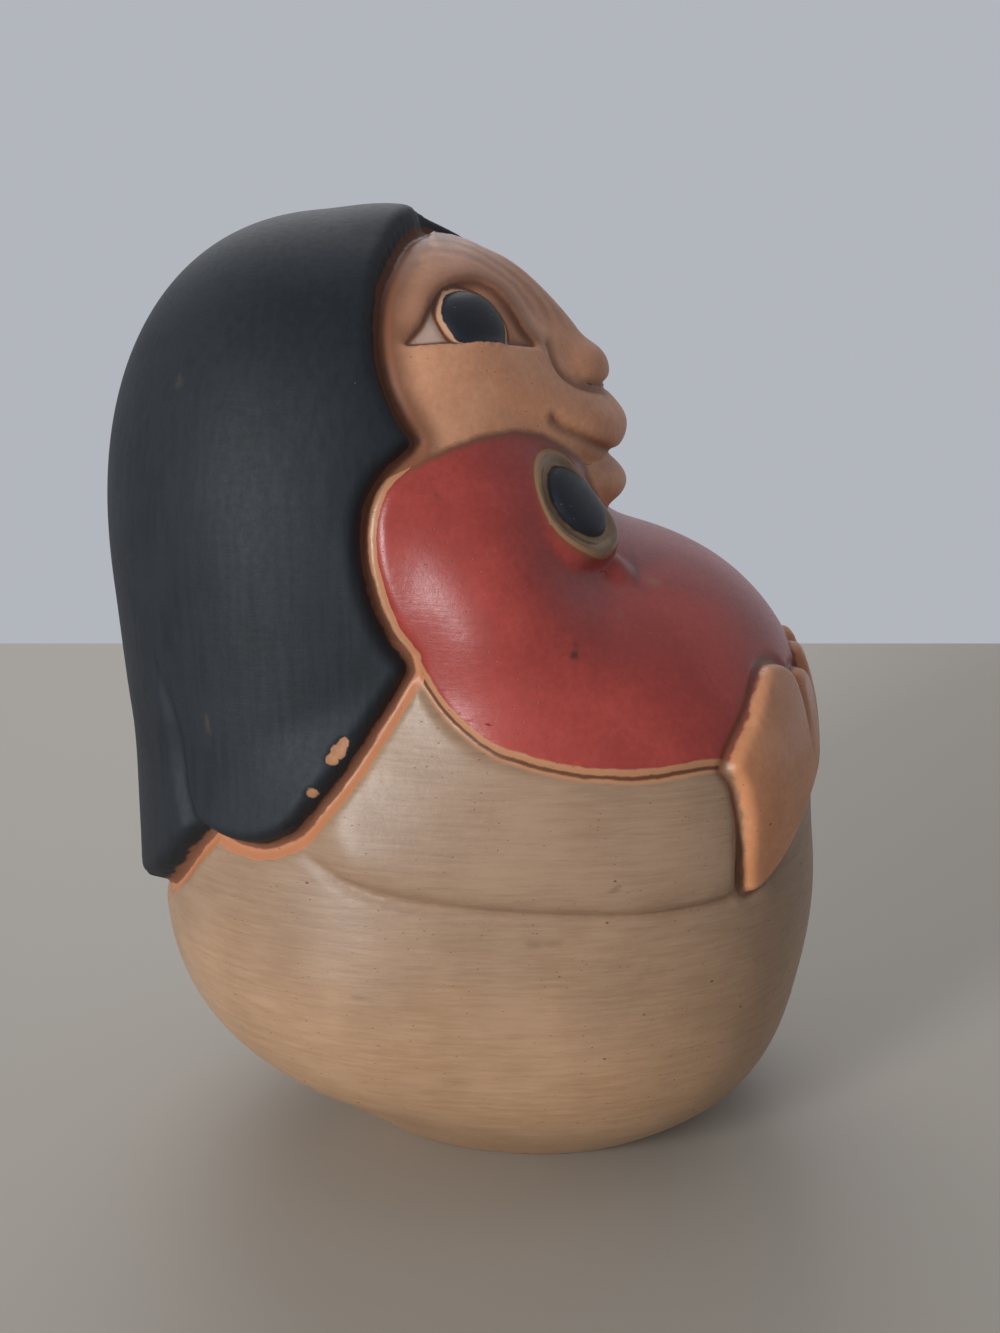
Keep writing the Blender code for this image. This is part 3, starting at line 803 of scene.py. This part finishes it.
def pitted(p, f):  # small flat pits, in patches
    place = p.put("ShaderNodeMapping", p.put("ShaderNodeTexCoord").outputs["Object"])
    place.inputs["Scale"].default_value = (600, 600, 1400)
    cells = p.put("ShaderNodeTexVoronoi", place.outputs["Vector"], feature="F1")
    cells.inputs["Scale"].default_value = 1.0
    patches = p.math("GREATER_THAN", p.noise(5, detail=1, shift=9.0), 0.47)
    return p.all(p.fade(cells.outputs["Distance"], 0.13, 0.06), patches, p.rest(f["inHair"]))


def readFields(p):  # the hand's unevenness, the outlines as it drew them, and what lies inside each
    f = {
        "wobble": p.math("SUBTRACT", p.noise(2.6, detail=4), 0.5),
        "slow": p.math("SUBTRACT", p.noise(9.0, shift=3.0), 0.5),
        "cloud": p.noise(14, detail=4, shift=7.0),
        "grain": p.noise(0.9, detail=5, rough=0.7),
        "streak": p.noise(0.55, stretch=(14, 14, 1), detail=5, rough=0.7, shift=1.0),
        "iris": p.field("iris"),
        "seed": p.field("seed"),
        "eyeUp": p.field("eyeUp"),
    }
    for name, fine, broad in (("hair", 0.55, 0.3), ("bundle", 0.45, 0.4), ("hand", 0.5, 0.2),
                              ("crease", 0.5, 0.2), ("eye", 0.35, 0.1)):
        moved = p.math("ADD", p.field(name), p.math("MULTIPLY", f["wobble"], fine))
        f[name] = p.math("ADD", moved, p.math("MULTIPLY", f["slow"], broad))
    f["onRed"] = p.fade(f["bundle"], 0.1, -0.1)
    f["onFace"] = p.all(p.fade(f["crease"], -0.1, 0.1), f["onRed"])
    f["inRed"] = p.all(p.fade(f["crease"], 0.1, -0.1), p.fade(f["bundle"], -0.25, -0.4))
    f["inHair"] = p.fade(f["hair"], 0.12, -0.05)
    f["hairGroove"] = p.fade(f["hair"], *lines["hairGroove"])
    f["worn"] = p.math("ADD", f["iris"], p.math("MULTIPLY", f["wobble"], 0.7))
    inIris = p.fade(f["worn"], eye["iris"] + 0.1, eye["iris"] - 0.05)
    f["pupil"] = p.all(inIris, p.fade(f["eye"], 0.0, -0.2))
    f["seedPupil"] = p.fade(f["seed"], seed["pupil"] + 0.05, seed["pupil"] - 0.1)
    f["pits"] = pitted(p, f)
    return f


def paintBody(p, f):  # streaky cream slip, warmer near the foot
    tone = p.blend(f["streak"], f["cloud"], 0.55)
    up = p.put("ShaderNodeSeparateXYZ", p.put("ShaderNodeTexCoord").outputs["Object"]).outputs["Z"]
    lowDown = p.fade(p.math("ADD", up, p.math("MULTIPLY", f["slow"], 0.02)), 0.046, 0.012)
    colour = p.mix(lowDown, p.slipOf("cream", tone, 0.36, 0.66), p.slipOf("creamLow", tone, 0.36, 0.66))
    scratches = p.fade(p.noise(0.30, stretch=(16, 16, 1), detail=2, shift=5.0), 0.66, 0.78)
    return p.over(colour, slip["umber"], scratches, amount=strength["scratches"])


def paintFace(p, f, colour):  # skin, with the arcs of the burnishing stone over the eye, and painted shade in the nose and mouth creases
    skinColour = p.slipOf("skin", p.blend(f["cloud"], f["grain"], 0.7))
    waves = p.math("ADD", f["iris"], p.math("MULTIPLY", f["slow"], 3.0))
    waves = p.math("SINE", p.math("MULTIPLY", waves, 2.7))
    arcs = p.all(p.math("ADD", p.math("MULTIPLY", waves, 0.5), 0.5), p.fade(f["iris"], 7.0, 9.0),
                 p.fade(f["iris"], 17.0, 13.0), p.fade(f["eyeUp"], 1.0, 4.0))
    skinColour = p.over(skinColour, slip["umber"], arcs, amount=strength["arcs"])
    brow = p.all(p.fade(f["eyeUp"], 0.5, 4.5), p.fade(f["hair"], 0.5, 3.0))
    skinColour = p.over(skinColour, slip["umber"], brow, amount=strength["brow"])
    colour = p.over(colour, skinColour, f["onFace"])
    # painted shade along the crease beside the nose and under the upper lip
    return p.over(colour, slip["umber"], f["onFace"], p.field("lips"), amount=strength["lips"])


def paintBundle(p, f, colour):
    colour = p.over(colour, p.slipOf("red", p.blend(f["cloud"], f["grain"], 0.6)), f["inRed"])
    line = p.field("bundleLine")
    colour = p.over(colour, slip["rim"], line, p.between(f["bundle"], *lines["underBundle"]))
    colour = p.over(colour, slip["brown"], line, p.between(f["bundle"], *lines["underBundleDark"]))
    # painted shade along the crease under the sleeve
    crease = p.between(p.field("sleeve"), *lines["sleeve"], 0.4)
    offBundle = p.fade(p.field("bundle"), 2.0, 4.0)
    return p.over(colour, slip["umber"], crease, offBundle, amount=strength["sleeve"])


def paintHands(p, f, colour):
    tone = p.slipOf("hand", p.blend(f["cloud"], f["grain"], 0.7), 0.3, 0.6)
    colour = p.over(colour, tone, p.fade(f["hand"], 0.1, -0.1))
    edge = p.between(f["hand"], *lines["roundHand"], 0.25)
    colour = p.over(colour, slip["umber"], edge, amount=strength["hand"])
    return p.over(colour, slip["umber"], p.field("fingers"), amount=strength["fingers"])


def paintJaw(p, f, colour):
    jaw = p.between(f["crease"], *lines["jaw"], 0.3)
    return p.over(colour, slip["umber"], jaw, p.fade(f["bundle"], 0, -1), amount=strength["jaw"])


def paintEyes(p, f, colour):  # painted shade over the lid and inside the eye's edge, white corner, scored ring, worn rim and black iris
    iris = eye["iris"]
    # painted shade above the eye, along its upper lid
    lid = p.all(p.fade(f["eye"], 2.8, -0.2), f["onFace"], p.fade(f["eyeUp"], -2.2, -0.8))
    colour = p.over(colour, slip["umber"], lid, amount=strength["lid"])
    # painted shade inside the eye, darkest next to its cut edge
    inEye = p.fade(f["eye"], 0.0, -0.25)
    colour = p.over(colour, p.mix(p.fade(f["eye"], -0.2, -1.6), slip["umber"], slip["skin"][1]), inEye)
    white = p.all(p.fade(f["eye"], -0.35, -0.8), p.fade(f["iris"], iris + 0.9, iris + 1.1),
                  p.fade(p.field("eyeAlong"), 0.5, 0.0))
    colour = p.over(colour, slip["white"], white)
    ring = p.between(f["iris"], *(iris + off for off in lines["irisGroove"]))
    colour = p.over(colour, slip["brown"], inEye, ring)
    rim = p.between(f["worn"], *(iris + off for off in lines["irisRim"]), 0.1)
    colour = p.over(colour, slip["irisRim"], inEye, rim)
    return p.over(colour, slip["iris"], f["pupil"])


def paintSeed(p, f, colour):
    ring, dome = seed["ring"], seed["pupil"]
    around = p.fade(f["seed"], ring + 0.9, ring + 0.2)
    colour = p.over(colour, slip["umber"], around, amount=strength["seed"])
    colour = p.over(colour, slip["seedRim"], p.fade(f["seed"], ring + 0.25, ring + 0.1))
    tone = p.mix(p.fade(f["cloud"], 0.42, 0.58), slip["seedRing"], slip["seedRim"])
    colour = p.over(colour, tone, p.fade(f["seed"], ring - 0.1, ring - 0.25))
    colour = p.over(colour, slip["seedRim"], p.between(f["seed"], dome, dome + 0.35))
    return p.over(colour, slip["iris"], f["seedPupil"])


def paintHair(p, f, colour):  # bare clay shows along its edge, with painted shade darkening it beside the face
    besideRed, elsewhere = lines["besideHair"]
    band = p.math("LESS_THAN", f["hair"], p.number(f["onRed"], elsewhere, besideRed))
    bare = p.mix(f["onRed"], slip["bareClay"], slip["rim"])
    colour = p.over(colour, bare, band, p.rest(f["onFace"]))
    # painted shade on the face beside the hair, and on the bare clay in the groove there
    colour = p.over(colour, slip["umber"], f["onFace"], p.fade(f["hair"], 4.4, 1.4))
    colour = p.over(colour, slip["bareClayPaintedShade"], f["onFace"], p.between(f["hair"], 0.9, 1.9, 0.35))
    colour = p.over(colour, p.mix(f["onRed"], slip["umber"], slip["brown"]), f["hairGroove"])
    locks = p.noise(0.8, stretch=(1.2, 1.2, 14), detail=4, rough=0.6, shift=4.0)
    colour = p.over(colour, p.slipOf("hair", p.blend(locks, f["cloud"], 0.5), 0.4, 0.62), f["inHair"])
    flaked = p.fade(p.math("ADD", p.field("chips"), f["wobble"]), -0.08, 0.08)
    return p.over(colour, slip["rim"], flaked)


def paintWear(p, f, colour):  # painted shade in every hollow place, pits, and the stains and specks, among them painted shade and a painted highlight beside the bud
    # painted shade: umber darkens each hollow place, where shade falls
    hollowShade = p.fade(p.field("hollow"), 0.12, 0.75)
    colour = p.over(colour, slip["umber"], hollowShade, p.rest(f["inHair"]), amount=strength["hollowShade"])
    colour = p.over(colour, slip["umber"], f["pits"], amount=strength["pits"])
    # dark stains, and the painted shadow beside the bud
    colour = p.over(colour, slip["stainAndShade"], p.field("marks"), amount=0.8)
    # light specks, and the painted highlight below the bud
    return p.over(colour, slip["seedRim"], p.field("marks"), amount=-0.7)


def roughnessOf(p, f):
    rough = p.number(f["inRed"], p.number(f["onFace"], gloss["cream"], gloss["skin"]), gloss["red"])
    rough = p.number(f["inHair"], rough, gloss["hair"])
    rough = p.number(p.math("MAXIMUM", f["pupil"], f["seedPupil"]), rough, gloss["pupils"])
    uneven = p.math("MULTIPLY", p.math("SUBTRACT", f["grain"], 0.5), gloss["uneven"])
    inGroove = p.all(f["hairGroove"], p.rest(f["inHair"]))
    return p.number(inGroove, p.math("ADD", rough, uneven), gloss["grooves"])


def bumpOf(p, f):
    height = p.math("MULTIPLY", p.math("ADD", f["grain"], f["streak"]), 0.35)
    height = p.math("SUBTRACT", height, p.math("MULTIPLY", f["pits"], 0.5))
    height = p.math("ADD", height, p.math("MULTIPLY", p.noise(5, stretch=(2, 2, 1), shift=2.0), 0.9))
    bump = p.put("ShaderNodeBump")
    bump.inputs["Strength"].default_value = 0.35
    bump.inputs["Distance"].default_value = 0.00022
    p.feed(bump.inputs["Height"], height)
    return bump.outputs["Normal"]


def slipMaterial():
    material = bpy.data.materials.new("slipPaintedClay")
    material.use_nodes = True
    shader = material.node_tree.nodes["Principled BSDF"]
    p = Paint(material.node_tree)
    f = readFields(p)
    colour = paintBody(p, f)
    for coat in (paintFace, paintBundle, paintHands, paintJaw, paintEyes, paintSeed, paintHair, paintWear):
        colour = coat(p, f, colour)
    p.feed(shader.inputs["Base Color"], colour)
    p.feed(shader.inputs["Roughness"], roughnessOf(p, f))
    p.feed(shader.inputs["Normal"], bumpOf(p, f))
    shader.inputs["Specular IOR Level"].default_value = gloss["specular"]
    return material


def gritMaterial():
    material = bpy.data.materials.new("darkGrit")
    material.use_nodes = True
    shader = material.node_tree.nodes["Principled BSDF"]
    p = Paint(material.node_tree)
    tone = p.fade(p.noise(3, detail=1), 0.4, 0.6)
    p.feed(shader.inputs["Base Color"], p.mix(tone, slip["grit"], slip["umber"]))
    shader.inputs["Roughness"].default_value = gloss["grit"]
    return material


print("stage 5: grit in the clay")

grit = {  # the tree's inputs: kind and value
    "Grains per area": ("NodeSocketFloat", 8000.0),  # a square metre
    "Grain size": ("NodeSocketFloat", 0.00014),      # radius in metres
    "Flatness": ("NodeSocketFloat", 0.35),
    "Seed": ("NodeSocketInt", 7),
}
grainSizes = (0.35, 1.25)  # the smallest and the largest, as shares of the size above
grainLength = 1.7          # and how long each is for its width


def keepGritShare(mesh):  # the cream clay shows most of its grit, the burnished slips little
    def read(name):
        values = np.empty(len(mesh.vertices), np.float32)
        mesh.attributes[name].data.foreach_get("value", values)
        return values
    amount = np.where(read("bundle") > 0.8, 1.0, 0.18)
    amount = np.where(read("hair") < 2.2, 0.05, amount)
    amount = np.where((read("eye") < 0.5) | (read("seed") < 7.5), 0.0, amount)
    amount = np.where(readPlaces(mesh)[:, 2] < 0.002, 0.0, amount)
    keep(mesh, "gritShare", amount)


def gritTree(clayPaint, gritPaint):
    tree = bpy.data.node_groups.new("clayGrit", "GeometryNodeTree")
    side = tree.interface
    side.new_socket("Geometry", in_out="INPUT", socket_type="NodeSocketGeometry")
    for name, (kind, value) in grit.items():
        side.new_socket(name, in_out="INPUT", socket_type=kind).default_value = value
    side.new_socket("Geometry", in_out="OUTPUT", socket_type="NodeSocketGeometry")
    add, link = tree.nodes.new, tree.links.new
    start, end = add("NodeGroupInput"), add("NodeGroupOutput")

    def times(a, b):
        made = add("ShaderNodeMath")
        made.operation = "MULTIPLY"
        link(a, made.inputs[0])
        if isinstance(b, float):
            made.inputs[1].default_value = b
        else:
            link(b, made.inputs[1])
        return made.outputs[0]

    def painted(geometry, paint):
        made = add("GeometryNodeSetMaterial")
        made.inputs["Material"].default_value = paint
        link(geometry, made.inputs["Geometry"])
        return made.outputs["Geometry"]

    amount = add("GeometryNodeInputNamedAttribute")
    amount.data_type = "FLOAT"
    amount.inputs["Name"].default_value = "gritShare"
    strew = add("GeometryNodeDistributePointsOnFaces")
    link(start.outputs["Geometry"], strew.inputs["Mesh"])
    link(times(amount.outputs["Attribute"], start.outputs["Grains per area"]), strew.inputs["Density"])
    link(start.outputs["Seed"], strew.inputs["Seed"])
    grain = add("GeometryNodeMeshIcoSphere")
    grain.inputs["Subdivisions"].default_value = 1
    link(start.outputs["Grain size"], grain.inputs["Radius"])
    spread = add("FunctionNodeRandomValue")
    spread.data_type = "FLOAT"
    spread.inputs[2].default_value, spread.inputs[3].default_value = grainSizes
    link(start.outputs["Seed"], spread.inputs["Seed"])
    sizes = add("ShaderNodeCombineXYZ")
    link(times(spread.outputs[1], grainLength), sizes.inputs[0])
    link(spread.outputs[1], sizes.inputs[1])
    link(times(spread.outputs[1], start.outputs["Flatness"]), sizes.inputs[2])
    strewn = add("GeometryNodeInstanceOnPoints")
    link(strew.outputs["Points"], strewn.inputs["Points"])
    link(grain.outputs["Mesh"], strewn.inputs["Instance"])
    link(strew.outputs["Rotation"], strewn.inputs["Rotation"])
    link(sizes.outputs[0], strewn.inputs["Scale"])
    real = add("GeometryNodeRealizeInstances")
    link(strewn.outputs["Instances"], real.inputs["Geometry"])
    both = add("GeometryNodeJoinGeometry")
    link(painted(real.outputs["Geometry"], gritPaint), both.inputs["Geometry"])
    link(painted(start.outputs["Geometry"], clayPaint), both.inputs["Geometry"])
    link(both.outputs["Geometry"], end.inputs["Geometry"])
    return tree


def strewGrit(obj):
    keepGritShare(obj.data)
    tree = gritTree(slipMaterial(), gritMaterial())
    made = obj.modifiers.new("grit", "NODES")
    made.node_group = tree
    for item in tree.interface.items_tree:
        if item.in_out == "INPUT" and item.name in grit:
            made[item.identifier] = grit[item.name][1]
    graph = bpy.context.evaluated_depsgraph_get()
    whole = bpy.data.meshes.new_from_object(obj.evaluated_get(graph))
    obj.modifiers.clear()
    obj.data = whole


strewGrit(skin)
skin.name = "paintedFigurine"
print("whole triangles", sum(len(f.vertices) - 2 for f in skin.data.polygons))

print("stage 6: joining the frame")
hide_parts("figurine")
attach(skin, "root")
